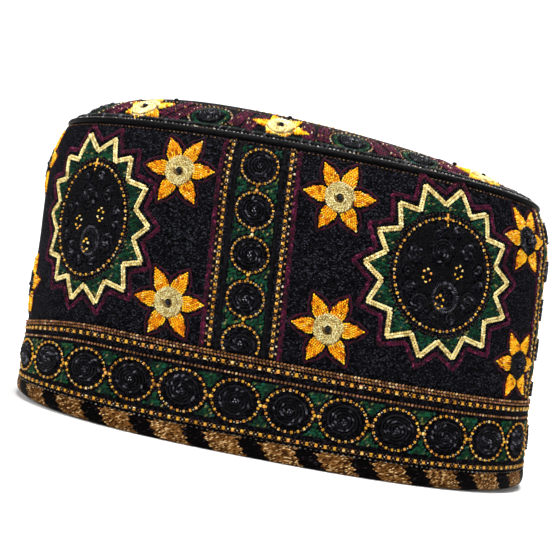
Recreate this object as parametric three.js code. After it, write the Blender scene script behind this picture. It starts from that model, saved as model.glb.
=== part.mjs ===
// A Balochi cap standing on its rim: a flat-sided oval wall, a border band and an edge tape at
// the rim, a round piping in the top seam and a low domed crown. Millimetres, +Z up, the front
// of the cap towards -Y and its long axis along X. The origin is under the middle of the cap.
import * as THREE from 'three';

// The oval: outer half length and half width at the rim, and how square its corners are
const HALF_LENGTH = 106;
const HALF_WIDTH = 64.7;
const OVAL_POWER = 2.32;
const STATIONS = 72;

// The wall from the floor to the top seam
const WALL_HEIGHT = 113.2;
const WALL_THICKNESS = 2.6;
const TOP_TAPER = 0.01;
const SIDE_HOLLOW = 0.005;
const SHOULDER_START = 0.8;
const SHOULDER_INSET = 0.052;

// The soft cap leans to its left, its ends ride up off the floor, its top seam drops towards the
// ends, and the left end sags in the middle of its height
const LEAN = 6;
const RIM_RISE = 1.9;
const FLAT_REST = 0.35;
const SEAM_DROP = 1.9;
const LEFT_SAG = 6.5;
const SAG_START = 0.6;
const BLEND = 0.3;

// The cloth layers laid over the wall: how far each stands out from the wall's outer face
const CLEARANCE = 0.3;
const BAND_BOTTOM = 7.3;
const BAND_TOP = 35.4;
const BAND_OUT = 0.5;
const BAND_THICKNESS = 1.3;
const TAPE_OUT = 0.8;
const TAPE_THICKNESS = 1.2;

// The piping and the crown
const PIPING_HEIGHT = 2.8;
const PIPING_DEPTH = 2.9;
const CROWN_THICKNESS = 2;
const CROWN_RISE = 13.2;
const CROWN_POWER = 4.2;
const CROWN_TILT = 0.42;

// Half of the lean's effect on the box, so that the origin is under its middle
const MIDDLE_SHIFT = 1.54;

const clamp01 = (value) => Math.min(1, Math.max(0, value));

// A point of the oval at an angle, before it is evened out by length
function ovalPoint(angle) {
  const c = Math.cos(angle);
  const s = Math.sin(angle);
  return new THREE.Vector2(
    HALF_LENGTH * Math.sign(c) * Math.abs(c) ** (2 / OVAL_POWER),
    HALF_WIDTH * Math.sign(s) * Math.abs(s) ** (2 / OVAL_POWER),
  );
}

// Stations at equal steps of length round the oval, counter-clockwise seen from above, the first
// at the middle of the front. Each has its place and its outward normal.
function ovalStations(count) {
  const fine = 2880;
  const points = [];
  for (let i = 0; i <= fine; i += 1) {
    points.push(ovalPoint(-Math.PI / 2 + (2 * Math.PI * i) / fine));
  }
  const run = [0];
  for (let i = 1; i <= fine; i += 1) {
    run.push(run[i - 1] + points[i].distanceTo(points[i - 1]));
  }
  const stations = [];
  let at = 0;
  for (let i = 0; i < count; i += 1) {
    const wanted = (run[fine] * i) / count;
    while (run[at + 1] < wanted) at += 1;
    const part = (wanted - run[at]) / (run[at + 1] - run[at]);
    const place = points[at].clone().lerp(points[at + 1], part);
    const slopeX = Math.sign(place.x) * (Math.abs(place.x) / HALF_LENGTH) ** (OVAL_POWER - 1) / HALF_LENGTH;
    const slopeY = Math.sign(place.y) * (Math.abs(place.y) / HALF_WIDTH) ** (OVAL_POWER - 1) / HALF_WIDTH;
    const normal = new THREE.Vector2(slopeX, slopeY).normalize();
    stations.push({ place, normal });
  }
  return stations;
}

// Where a point of the wall lies: out is its distance outside the wall's outer face, and height
// its height in the flat, unsagged cloth
function wallPoint(station, out, height) {
  const up = height / WALL_HEIGHT;
  const shoulder = clamp01((up - SHOULDER_START) / (1 - SHOULDER_START)) ** 2;
  const hollow = SIDE_HOLLOW * 4 * clamp01(up) * (1 - clamp01(up));
  const scale = 1 - TOP_TAPER * up - hollow - SHOULDER_INSET * shoulder;
  const end = station.place.x / HALF_LENGTH;
  const lift = RIM_RISE * (Math.max(0, Math.abs(end) - FLAT_REST) / (1 - FLAT_REST)) ** 2;
  const sag = LEFT_SAG * (Math.max(0, -end - SAG_START) / (1 - SAG_START)) ** 2;
  const low = clamp01(up / BLEND);
  const high = clamp01((1 - up) / BLEND);
  return new THREE.Vector3(
    station.place.x * scale + station.normal.x * out - LEAN * up + MIDDLE_SHIFT,
    station.place.y * scale + station.normal.y * out,
    height + lift * (1 - low) - SEAM_DROP * end * end * (1 - high) - sag * low * high,
  );
}

// A closed body from rings of points. Where wrap is true the rings close on themselves, as round
// a hoop's section. Otherwise the first and last ring are single points on the axis.
function bodyFromRings(rings, wrap) {
  const positions = [];
  const starts = [];
  for (const ring of rings) {
    starts.push(positions.length / 3);
    for (const point of ring) positions.push(point.x, point.y, point.z);
  }
  const index = [];
  const links = wrap ? rings.length : rings.length - 1;
  for (let r = 0; r < links; r += 1) {
    const next = (r + 1) % rings.length;
    const count = Math.max(rings[r].length, rings[next].length);
    const vertex = (ring, i) => starts[ring] + (i % rings[ring].length);
    for (let i = 0; i < count; i += 1) {
      if (rings[r].length > 1) index.push(vertex(r, i), vertex(next, i), vertex(r, i + 1));
      if (rings[next].length > 1) index.push(vertex(r, i + 1), vertex(next, i), vertex(next, i + 1));
    }
  }
  const geometry = new THREE.BufferGeometry();
  geometry.setAttribute('position', new THREE.Float32BufferAttribute(positions, 3));
  geometry.setIndex(index);
  geometry.computeVertexNormals();
  return geometry;
}

// A hoop round the cap whose section is a closed list of [out, height] corners, listed so that
// they run up the outside and down the inside
function hoop(stations, section) {
  const rings = section.map(([out, height]) => stations.map((station) => wallPoint(station, out, height)));
  return bodyFromRings(rings.reverse(), true);
}

// The wall: thinner below, where the border band is laid over it
function sideWallSection() {
  const bandSeat = BAND_OUT - BAND_THICKNESS - CLEARANCE;
  const bottom = TAPE_THICKNESS + CLEARANCE;
  const bandEnd = BAND_TOP + CLEARANCE;
  const upperRows = 8;
  const section = [[bandSeat, bottom], [bandSeat, (bottom + bandEnd) / 2], [bandSeat, bandEnd]];
  for (let row = 0; row <= upperRows; row += 1) {
    section.push([0, bandEnd + (WALL_HEIGHT - bandEnd) * (row / upperRows)]);
  }
  for (let row = upperRows; row >= 0; row -= 1) {
    section.push([-WALL_THICKNESS, bandEnd + (WALL_HEIGHT - bandEnd) * (row / upperRows)]);
  }
  section.push([-WALL_THICKNESS, (bottom + bandEnd) / 2], [-WALL_THICKNESS, bottom]);
  return section;
}

// The border band: one strip of cloth round the lower wall, its long edges turned in
function borderBandSection() {
  const inner = BAND_OUT - BAND_THICKNESS;
  const turn = 0.5;
  const middle = (BAND_BOTTOM + BAND_TOP) / 2;
  return [
    [BAND_OUT - turn, BAND_BOTTOM],
    [BAND_OUT, BAND_BOTTOM + turn],
    [BAND_OUT, middle],
    [BAND_OUT, BAND_TOP - turn],
    [BAND_OUT - turn, BAND_TOP],
    [inner, BAND_TOP],
    [inner, middle],
    [inner, BAND_BOTTOM],
  ];
}

// The edge tape: folded round the raw lower edge of the wall, with a flat strip to stand on
function edgeTapeSection() {
  const top = BAND_BOTTOM - CLEARANCE;
  const slotOuter = BAND_OUT - BAND_THICKNESS;
  const slotInner = -WALL_THICKNESS - CLEARANCE;
  const back = slotInner - TAPE_THICKNESS;
  return [
    [-0.9, 0],
    [0.2, 0.6],
    [TAPE_OUT, 2.4],
    [TAPE_OUT + 0.1, 5],
    [TAPE_OUT - 0.3, top],
    [slotOuter, top],
    [slotOuter, TAPE_THICKNESS],
    [slotInner, TAPE_THICKNESS],
    [slotInner, top],
    [back, top],
    [back, 2.4],
    [back + 0.5, 0.6],
    [back + 1.4, 0],
  ];
}

// The piping: a cord wrapped in plain cloth, a rounded ridge on the wall's top edge
function pipingSection() {
  const base = WALL_HEIGHT + CLEARANCE;
  const halfHeight = PIPING_HEIGHT / 2;
  const halfDepth = PIPING_DEPTH / 2;
  const sides = 10;
  const section = [];
  for (let i = 0; i < sides; i += 1) {
    const angle = -Math.PI / 2 + (2 * Math.PI * i) / sides;
    section.push([halfDepth * Math.cos(angle) - halfDepth + 0.4, base + halfHeight + halfHeight * Math.sin(angle)]);
  }
  return section;
}

// The crown: a panel that is flat in the middle and rounds down into the seam, highest left of
// the middle, and hollow underneath
function crown(stations) {
  const edgeOut = 0.4 - PIPING_DEPTH - CLEARANCE;
  const seat = WALL_HEIGHT + 1;
  const spring = WALL_HEIGHT + PIPING_HEIGHT;
  const spans = [0.3, 0.6, 0.78, 0.9, 0.97, 1];
  const across = (span, under) => stations.map((station) => {
    const out = under ? edgeOut - CROWN_THICKNESS : edgeOut;
    const edge = wallPoint(station, out, spring);
    const centreX = MIDDLE_SHIFT - LEAN;
    const rise = CROWN_RISE * (1 - span ** CROWN_POWER) * (1 - (CROWN_TILT * span * station.place.x) / HALF_LENGTH);
    const drop = SEAM_DROP * (1 - span * span) * (station.place.x / HALF_LENGTH) ** 2;
    return new THREE.Vector3(
      centreX + (edge.x - centreX) * span,
      edge.y * span,
      edge.z + drop + rise - (under ? CROWN_THICKNESS : 0),
    );
  });
  const rim = (out, height) => stations.map((station) => wallPoint(station, out, height));
  const centre = (under) => [new THREE.Vector3(MIDDLE_SHIFT - LEAN, 0, spring + CROWN_RISE - (under ? CROWN_THICKNESS : 0))];
  const rings = [centre(false)];
  for (const span of spans) rings.push(across(span, false));
  rings.push(rim(edgeOut, seat), rim(edgeOut - CROWN_THICKNESS, seat));
  for (const span of [...spans].reverse().slice(1)) rings.push(across(span, true));
  rings.push(centre(true));
  return bodyFromRings(rings, false);
}

function piece(name, geometry, colour, roughness) {
  const material = new THREE.MeshStandardMaterial({ color: colour, roughness, metalness: 0 });
  const mesh = new THREE.Mesh(geometry, material);
  mesh.name = name;
  return mesh;
}

const stations = ovalStations(STATIONS);
const cap = new THREE.Group();
cap.add(
  piece('side_wall', hoop(stations, sideWallSection()), 0x17161a, 0.85),
  piece('border_band', hoop(stations, borderBandSection()), 0x1c2a1e, 0.8),
  piece('edge_tape', hoop(stations, edgeTapeSection()), 0x8a5f2c, 0.7),
  piece('crown_piping', hoop(stations, pipingSection()), 0x141414, 0.6),
  piece('crown', crown(stations), 0x3a1424, 0.8),
);

export default cap;
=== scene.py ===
import math
from functools import partial

import bpy
import numpy as np
from mathutils import Matrix, Vector


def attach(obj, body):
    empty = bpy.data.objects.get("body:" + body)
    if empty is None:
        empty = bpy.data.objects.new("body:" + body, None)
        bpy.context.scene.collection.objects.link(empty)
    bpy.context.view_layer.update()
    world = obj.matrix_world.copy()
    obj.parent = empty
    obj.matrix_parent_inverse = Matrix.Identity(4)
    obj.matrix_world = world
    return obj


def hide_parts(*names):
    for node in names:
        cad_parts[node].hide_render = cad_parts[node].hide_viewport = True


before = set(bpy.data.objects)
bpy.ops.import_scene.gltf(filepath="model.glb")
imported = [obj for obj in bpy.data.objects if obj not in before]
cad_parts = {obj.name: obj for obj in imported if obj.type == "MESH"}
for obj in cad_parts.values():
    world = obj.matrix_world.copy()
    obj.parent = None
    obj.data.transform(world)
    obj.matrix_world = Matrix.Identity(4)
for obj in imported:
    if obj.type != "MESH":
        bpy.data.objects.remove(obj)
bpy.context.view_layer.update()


# Side wall
# The upright wall is one strip of quilted black cotton, about 2.6 mm thick, closed into an oval.
# Its face is sewn over in close rows of black thread, which catch the light as fine grey grains.

# The oval at the rim, and how square its corners are
HALF_LENGTH = 106.0
HALF_WIDTH = 64.7
OVAL_POWER = 2.32

# The wall's cloth, how it narrows upwards, and how its shoulder turns in under the crown
WALL_HEIGHT = 113.2
WALL_THICKNESS = 2.6
TOP_TAPER = 0.01
SIDE_HOLLOW = 0.005
SHOULDER_START = 0.8
SHOULDER_INSET = 0.052

# The soft cap leans to its left, its ends ride up, its top drops at the ends, and its left sags
LEAN = 6.0
RIM_RISE = 1.9
FLAT_REST = 0.35
SEAM_DROP = 1.9
LEFT_SAG = 6.5
SAG_START = 0.6
BLEND = 0.3
MIDDLE_SHIFT = 1.54

# The seats of the band and the tape, the gaps between layers, and the quilting's soft puffs
BAND_TOP = 35.4
BAND_SEAT = -1.1
WALL_FOOT = 1.5
CLEARANCE = 0.3
PUFF_DEPTH = 0.35

turn = np.linspace(-np.pi / 2, 3 * np.pi / 2, 5761)
oval_x = HALF_LENGTH * np.sign(np.cos(turn)) * np.abs(np.cos(turn)) ** (2 / OVAL_POWER)
oval_y = HALF_WIDTH * np.sign(np.sin(turn)) * np.abs(np.sin(turn)) ** (2 / OVAL_POWER)
oval_run = np.concatenate([[0], np.cumsum(np.hypot(np.diff(oval_x), np.diff(oval_y)))])
GIRTH = oval_run[-1]


def oval(s):
    """The oval's place and outward normal at a length s round it from the middle of the front."""
    along = np.mod(s, GIRTH)
    x = np.interp(along, oval_run, oval_x)
    y = np.interp(along, oval_run, oval_y)
    slope_x = np.sign(x) * (np.abs(x) / HALF_LENGTH) ** (OVAL_POWER - 1) / HALF_LENGTH
    slope_y = np.sign(y) * (np.abs(y) / HALF_WIDTH) ** (OVAL_POWER - 1) / HALF_WIDTH
    steep = np.hypot(slope_x, slope_y)
    return x, y, slope_x / steep, slope_y / steep


def wall_place(s, height, out):
    """Where the wall's cloth lies: s round the cap, height up the flat cloth, out from its face."""
    x, y, normal_x, normal_y = oval(s)
    up = height / WALL_HEIGHT
    shoulder = np.clip((up - SHOULDER_START) / (1 - SHOULDER_START), 0, 1) ** 2
    hollow = SIDE_HOLLOW * 4 * np.clip(up, 0, 1) * (1 - np.clip(up, 0, 1))
    scale = 1 - TOP_TAPER * up - hollow - SHOULDER_INSET * shoulder
    end = x / HALF_LENGTH
    lift = RIM_RISE * (np.maximum(0, np.abs(end) - FLAT_REST) / (1 - FLAT_REST)) ** 2
    sag = LEFT_SAG * (np.maximum(0, -end - SAG_START) / (1 - SAG_START)) ** 2
    low = np.clip(up / BLEND, 0, 1)
    high = np.clip((1 - up) / BLEND, 0, 1)
    wave = 2 * np.pi * s / GIRTH
    pucker = np.sin(9 * wave + 0.045 * height) * np.sin(0.083 * height + 2 * wave)
    puffed = out + PUFF_DEPTH * low * high * pucker
    place = (
        x * scale + normal_x * puffed - LEAN * up + MIDDLE_SHIFT,
        y * scale + normal_y * puffed,
        height + lift * (1 - low) - SEAM_DROP * end * end * (1 - high) - sag * low * high,
    )
    return np.stack(np.broadcast_arrays(*place), -1) * 0.001


def new_mesh(name, points, faces, maps):
    """A mesh from points, faces of equal corner count, and UV maps with one place per corner."""
    mesh = bpy.data.meshes.new(name)
    mesh.vertices.add(len(points))
    mesh.vertices.foreach_set("co", np.asarray(points, np.float32).ravel())
    mesh.loops.add(faces.size)
    mesh.polygons.add(len(faces))
    mesh.polygons.foreach_set("loop_start", np.arange(0, faces.size, faces.shape[1], dtype=np.int32))
    mesh.polygons.foreach_set("vertices", faces.astype(np.int32).ravel())
    mesh.update(calc_edges=True)
    for label, places in maps.items():
        layer = mesh.uv_layers.new(name=label)
        layer.uv.foreach_set("vector", np.asarray(places, np.float32).ravel())
    return mesh


def hoop(name, section, stations=264):
    """A closed strip round the cap from its section, a closed line of (out, height) corners."""
    section = np.array(section, float)
    closed = np.vstack([section, section[:1]])
    run = np.concatenate([[0], np.cumsum(np.hypot(*np.diff(closed, axis=0).T))])
    s = np.arange(stations) * GIRTH / stations
    points = wall_place(s[None, :], section[:, 1:2], section[:, 0:1])
    rows = len(section)
    row = np.repeat(np.arange(rows), stations)
    column = np.tile(np.arange(stations), rows)
    next_row = (row + 1) % rows
    next_column = (column + 1) % stations
    faces = np.stack([
        row * stations + column,
        row * stations + next_column,
        next_row * stations + next_column,
        next_row * stations + column,
    ], 1)
    across = np.stack([column, column + 1, column + 1, column], 1) * GIRTH / stations
    along = np.stack([run[row], run[row], run[row + 1], run[row + 1]], 1)
    outwards = np.sum(closed[:-1, 0] * closed[1:, 1] - closed[1:, 0] * closed[:-1, 1]) > 0
    if not outwards:
        faces, across, along = faces[:, ::-1], across[:, ::-1], along[:, ::-1]
    cloth = np.stack([across, along], -1)
    atlas = cloth / [GIRTH * 1.002, run[-1] * 1.01] + [0.001, 0.004]
    return new_mesh(name, points.reshape(-1, 3), faces, {"cloth": cloth, "OFBake": atlas})


def add(tree, kind, inputs=None, **settings):
    """Adds a node; each input is a plain value or the output of another node."""
    made = tree.nodes.new(kind)
    for name, value in settings.items():
        setattr(made, name, value)
    for name, value in (inputs or {}).items():
        if isinstance(value, bpy.types.NodeSocket):
            tree.links.new(value, made.inputs[name])
        else:
            made.inputs[name].default_value = value
    return made


def maths(tree, operation, *values):
    """A Math node's output for values or other outputs."""
    return add(tree, "ShaderNodeMath", dict(enumerate(values)), operation=operation).outputs[0]


def new_group(name, inputs, outputs):
    """An empty shader node group with named inputs and outputs."""
    group = bpy.data.node_groups.new(name, "ShaderNodeTree")
    for label, kind, value in inputs:
        socket = group.interface.new_socket(label, in_out="INPUT", socket_type="NodeSocket" + kind)
        if value is not None:
            socket.default_value = value
    for label, kind in outputs:
        group.interface.new_socket(label, in_out="OUTPUT", socket_type="NodeSocket" + kind)
    return group, group.nodes.new("NodeGroupInput").outputs, group.nodes.new("NodeGroupOutput")


def use(tree, group, inputs):
    """Places a node group in a material with that material's own values."""
    return add(tree, "ShaderNodeGroup", inputs, node_tree=group).outputs


def linear(red, green, blue):
    """A screen colour of 0 to 255 values as the linear colour that shaders take."""
    values = [value / 255 for value in (red, green, blue)]
    return (*(v / 12.92 if v <= 0.04045 else ((v + 0.055) / 1.055) ** 2.4 for v in values), 1.0)


def colour_steps(tree, value, steps):
    """A Color Ramp's colour for a value; a step is its place, then red, green and blue."""
    node = add(tree, "ShaderNodeValToRGB", {0: value})
    elements = node.color_ramp.elements
    while len(elements) < len(steps):
        elements.new(0.5)
    for element, (place, *colour) in zip(elements, steps):
        element.position = place
        element.color = linear(*colour)
    return node.outputs[0]


def new_material(name, **sockets):
    """A material with a Principled shader; sockets that stay the same all over are set on it."""
    material = bpy.data.materials.new(name)
    material.use_nodes = True
    tree = material.node_tree
    shader = tree.nodes["Principled BSDF"]
    for label, value in sockets.items():
        shader.inputs[label.replace("_", " ")].default_value = value
    return material, tree, shader


# Rows of short stitches: each one is a rounded grain with its own tone, laid like bricks
BRICK_SHIFT = 0.618
rows_group, given, sewn_out = new_group(
    "Rows of stitches",
    [("Vector", "Vector", None), ("Row", "Float", 0.55), ("Length", "Float", 1.3), ("Slant", "Float", 0.0)],
    [("Height", "Float"), ("Tone", "Float")],
)
sums = partial(maths, rows_group)
at = add(rows_group, "ShaderNodeSeparateXYZ", {0: given["Vector"]}).outputs
row_run = sums("DIVIDE", at[1], given["Row"])
row_number = sums("FLOOR", row_run)
across_row = sums("FRACT", row_run)
slanted = sums("MULTIPLY_ADD", across_row, given["Slant"], sums("DIVIDE", at[0], given["Length"]))
stitch_run = sums("MULTIPLY_ADD", row_number, BRICK_SHIFT, slanted)
cell = add(rows_group, "ShaderNodeCombineXYZ", {0: sums("FLOOR", stitch_run), 1: row_number}).outputs[0]
tone = add(rows_group, "ShaderNodeTexWhiteNoise", {"Vector": cell}, noise_dimensions="2D").outputs["Value"]
side = sums("MULTIPLY_ADD", across_row, 2.0, -1.0)
round_side = sums("SUBTRACT", 1.0, sums("MULTIPLY", side, side))
tip = sums("ABSOLUTE", sums("MULTIPLY_ADD", sums("FRACT", stitch_run), 2.0, -1.0))
round_tip = sums("SUBTRACT", 1.0, sums("POWER", tip, 4.0))
grain = sums("MULTIPLY", round_side, round_tip)
uneven = sums("MULTIPLY_ADD", tone, 0.4, 0.6)
rows_group.links.new(sums("MULTIPLY", grain, uneven), sewn_out.inputs["Height"])
rows_group.links.new(tone, sewn_out.inputs["Tone"])

# Uneven dye: a colour grows lighter and darker in soft patches, as worn and handled thread does
dye_group, given, dye_out = new_group(
    "Uneven dye",
    [("Color", "Color", (0.5, 0.5, 0.5, 1)), ("Patch", "Float", 90.0), ("Amount", "Float", 0.3)],
    [("Color", "Color")],
)
sums = partial(maths, dye_group)
object_place = add(dye_group, "ShaderNodeTexCoord").outputs["Object"]
patch = add(dye_group, "ShaderNodeTexNoise", {"Vector": object_place, "Scale": given["Patch"], "Detail": 3.0})
spread = sums("MULTIPLY", sums("SUBTRACT", patch.outputs[0], 0.5), given["Amount"])
strength = sums("MULTIPLY_ADD", spread, 2.0, 1.0)
dyed = add(dye_group, "ShaderNodeVectorMath", {0: given["Color"], 1: strength}, operation="MULTIPLY")
dye_group.links.new(dyed.outputs[0], dye_out.inputs["Color"])


def sewn_cloth(name, steps, row=0.46, length=0.62, depth=0.00025, slant=0.0,
               painted_pit_shade=0.15, strength=0.9, dye=0.35, weave_in=None, **sockets):
    """Cloth whose whole face is rows of stitches in the colours of steps, by each stitch's tone, darkened by
    painted shade in the pits between the stitches.
    """
    settings = {"Roughness": 0.75, "Specular_IOR_Level": 0.02, **sockets}
    material, tree, shader = new_material(name, **settings)
    cloth = add(tree, "ShaderNodeUVMap", uv_map="cloth").outputs[0]
    sewn = use(tree, rows_group, {"Vector": cloth, "Row": row, "Length": length, "Slant": slant})
    colour = colour_steps(tree, sewn["Tone"], steps)
    if weave_in:
        colour = weave_in(tree, cloth, sewn["Tone"], colour)
    colour = use(tree, dye_group, {"Color": colour, "Amount": dye})["Color"]
    # Painted shade: the cloth's colour is darkened in the low pits between its stitches.
    pit = add(tree, "ShaderNodeMapRange", {"Value": sewn["Height"], "To Min": painted_pit_shade, "To Max": 1.0})
    shaded = add(tree, "ShaderNodeVectorMath", {0: colour, 1: pit.outputs[0]}, operation="MULTIPLY")
    tree.links.new(shaded.outputs[0], shader.inputs["Base Color"])
    bump = add(tree, "ShaderNodeBump", {"Height": sewn["Height"], "Strength": strength, "Distance": depth})
    tree.links.new(bump.outputs[0], shader.inputs["Normal"])
    return material


def stand(name, data):
    """Puts an object in the scene."""
    made = bpy.data.objects.new(name, data)
    bpy.context.scene.collection.objects.link(made)
    return made


def fix(mesh, material, stands_for=None):
    """Puts a finished piece in the scene under its mesh's name, riding on the cap."""
    piece = stand(mesh.name, mesh)
    mesh.materials.append(material)
    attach(piece, "root")
    if stands_for:
        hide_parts(stands_for)


wall_black = sewn_cloth(
    "wall_black_rows", [(0.0, 2, 2, 3), (0.4, 11, 11, 14), (0.8, 28, 28, 34), (1.0, 56, 56, 66)]
)
band_end = BAND_TOP + CLEARANCE
wall_section = [
    *[(BAND_SEAT, height) for height in (WALL_FOOT, 18.0, band_end)],
    *[(0.0, height) for height in np.linspace(band_end, WALL_HEIGHT, 26)],
    *[(-WALL_THICKNESS, height) for height in np.linspace(WALL_HEIGHT, WALL_FOOT, 22)],
]
fix(hoop("side_wall_cloth", wall_section), wall_black, "side_wall")


# Border band
# A strip of black cloth, 28 mm wide, laid round the lower wall over its raw edge. Its two long
# edges are turned in, and its embroidery holds it down.
BAND_BOTTOM = 7.3
BAND_OUT = 0.5
BAND_THICKNESS = 1.3


def soften(section, rounds):
    """Rounds a closed section by cutting its corners."""
    section = np.array(section, float)
    for _ in range(rounds):
        following = np.roll(section, -1, axis=0)
        section = np.stack([0.75 * section + 0.25 * following, 0.25 * section + 0.75 * following], 1)
        section = section.reshape(-1, 2)
    return section


band_black = sewn_cloth("band_black_rows", [(0.0, 1, 1, 2), (0.6, 9, 8, 11), (1.0, 40, 38, 46)])
band_inner = BAND_OUT - BAND_THICKNESS
band_section = [
    (BAND_OUT - 0.5, BAND_BOTTOM),
    (BAND_OUT, BAND_BOTTOM + 0.6),
    *[(BAND_OUT, height) for height in np.linspace(10, 33, 8)],
    (BAND_OUT, BAND_TOP - 0.6),
    (BAND_OUT - 0.5, BAND_TOP),
    (band_inner, BAND_TOP),
    (band_inner, 21.0),
    (band_inner, BAND_BOTTOM),
]
fix(hoop("border_band_cloth", soften(band_section, 1)), band_black, "border_band")


# Edge tape
# A woven binding tape folded over the raw rim and sewn through, which the cap stands on. Gold
# brown and black threads are woven into it as slanting stripes with stepped edges.
TAPE_OUT = 0.8
TAPE_THICKNESS = 1.2
STRIPE_PITCH = GIRTH / 27
STRIPE_SHARE = 0.59
STRIPE_START = -1.1
STRIPE_SLANT = -0.75
STRIPE_TOOTH = 2.2
STRIPE_STEP = 3.4
tape_top = BAND_BOTTOM - CLEARANCE
tape_back = -WALL_THICKNESS - CLEARANCE - TAPE_THICKNESS
tape_section = [
    (TAPE_OUT - 0.3, tape_top),
    (TAPE_OUT + 0.1, 5.0),
    (TAPE_OUT, 2.4),
    (0.2, 0.6),
    (-0.9, 0.0),
    (tape_back + 1.4, 0.0),
    (tape_back + 0.5, 0.6),
    (tape_back, 2.4),
    (tape_back, tape_top),
    (tape_back + TAPE_THICKNESS, tape_top),
    (tape_back + TAPE_THICKNESS, TAPE_THICKNESS),
    (band_inner, TAPE_THICKNESS),
    (band_inner, tape_top),
]


def weave_stripes(tree, cloth, tone, gold):
    """Black threads in place of the gold ones outside the slanting, stepped gold stripes."""
    at = add(tree, "ShaderNodeSeparateXYZ", {0: cloth}).outputs
    sums = partial(maths, tree)
    tooth = sums("FRACT", sums("DIVIDE", at[1], STRIPE_TOOTH))
    step = sums("MULTIPLY", sums("ABSOLUTE", sums("SUBTRACT", tooth, 0.5)), STRIPE_STEP)
    slanting = sums("MULTIPLY_ADD", at[1], STRIPE_SLANT, at[0])
    shifted = sums("ADD", slanting, sums("SUBTRACT", step, STRIPE_START))
    golden = sums("LESS_THAN", sums("FRACT", sums("DIVIDE", shifted, STRIPE_PITCH)), STRIPE_SHARE)
    black = colour_steps(tree, tone, [(0.0, 1, 1, 1), (0.75, 4, 3, 4), (0.92, 24, 8, 12), (1.0, 44, 40, 44)])
    return add(tree, "ShaderNodeMix", {0: golden, 6: black, 7: gold}, data_type="RGBA").outputs[2]


tape_weave = sewn_cloth(
    "tape_weave", [(0.0, 38, 17, 5), (0.35, 104, 63, 26), (0.75, 156, 106, 52), (1.0, 240, 200, 140)],
    row=0.62, length=0.72, depth=0.0004, slant=0.8, painted_pit_shade=0.3, strength=1.0, dye=0.3,
    weave_in=weave_stripes, Roughness=0.6,
)
fix(hoop("edge_tape_cloth", soften(tape_section, 2)), tape_weave, "edge_tape")


# Piping
# A cord wrapped in plain black satin, caught in the seam between the wall and the crown. It
# shows as one smooth, softly shining ridge all round.
PIPING_HEIGHT = 2.4
PIPING_DEPTH = 2.7
piping_satin = sewn_cloth(
    "piping_satin", [(0.0, 1, 1, 2), (0.6, 5, 5, 6), (1.0, 20, 20, 24)],
    row=0.42, length=0.9, depth=0.00015, Roughness=0.42, Specular_IOR_Level=0.05,
)
ridge = np.linspace(-np.pi / 2, 3 * np.pi / 2, 20, endpoint=False)
piping_section = np.stack([
    PIPING_DEPTH / 2 * np.cos(ridge) - PIPING_DEPTH / 2 + 0.4,
    WALL_HEIGHT + PIPING_HEIGHT / 2 * (1 + np.sin(ridge)),
], 1)
fix(hoop("piping_ridge", piping_section), piping_satin, "crown_piping")


# Crown
# The top panel is one oval of black cloth, flat in the middle and rounded down into the seam,
# with nothing under it. Its whole face is sewn, the ground in close rows of black thread.
CROWN_THICKNESS = 2.0
CROWN_RISE = 13.2
CROWN_POWER = 4.2
CROWN_TILT = 0.42
CROWN_MIDDLE = MIDDLE_SHIFT - LEAN
CROWN_OUT = -2.8
SPRING = 116.0

edge_s = np.arange(2880) * GIRTH / 2880
edge_point = wall_place(edge_s, SPRING, CROWN_OUT) * 1000
edge_bearing = np.arctan2(edge_point[:, 1], edge_point[:, 0] - CROWN_MIDDLE)
edge_order = np.argsort(edge_bearing)
edge_reach = np.hypot(edge_point[:, 1], edge_point[:, 0] - CROWN_MIDDLE)


def round_edge(bearing, values):
    """A value along the crown's edge, at a bearing seen from the crown's middle."""
    return np.interp(bearing, edge_bearing[edge_order], values[edge_order], period=2 * np.pi)


def dome(bearing, share, below=0.0):
    """A point of the crown in millimetres, at a share of the way from its middle to its edge."""
    reach = round_edge(bearing, edge_reach)
    end = round_edge(bearing, oval(edge_s)[0]) / HALF_LENGTH
    rise = CROWN_RISE * (1 - np.abs(share) ** CROWN_POWER) * (1 - CROWN_TILT * share * end)
    drop = SEAM_DROP * (1 - share ** 2) * end ** 2
    place = (
        CROWN_MIDDLE + reach * share * np.cos(bearing),
        reach * share * np.sin(bearing),
        round_edge(bearing, edge_point[:, 2]) + rise + drop - below,
    )
    return np.stack(np.broadcast_arrays(*place), -1)


def dome_share(x, y):
    """The bearing and share of a place on the flat crown cloth, whose rounded rim uses up length."""
    bearing = np.arctan2(y, x)
    reach = round_edge(bearing, edge_reach)
    wanted = np.hypot(x, y) / reach
    steep = (CROWN_POWER * CROWN_RISE / reach) ** 2
    power = 2 * CROWN_POWER - 2
    share = wanted
    for _ in range(6):
        length = share + steep * share ** (power + 1) / (2 * power + 2)
        share = share - (length - wanted) / (1 + steep * share ** power / 2)
    return bearing, share


def unit(vectors):
    """Vectors scaled to a length of one."""
    return vectors / np.linalg.norm(vectors, axis=-1, keepdims=True)


def crown_place(x, y, out):
    """Where the crown's cloth lies: x and y from its middle on the flat cloth, out from its face."""
    x, y, out = np.broadcast_arrays(x, y, out)
    here = dome(*dome_share(x, y))
    along_x = dome(*dome_share(x + 0.2, y)) - here
    along_y = dome(*dome_share(x, y + 0.2)) - here
    return (here + unit(np.cross(along_x, along_y)) * out[..., None]) * 0.001


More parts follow.
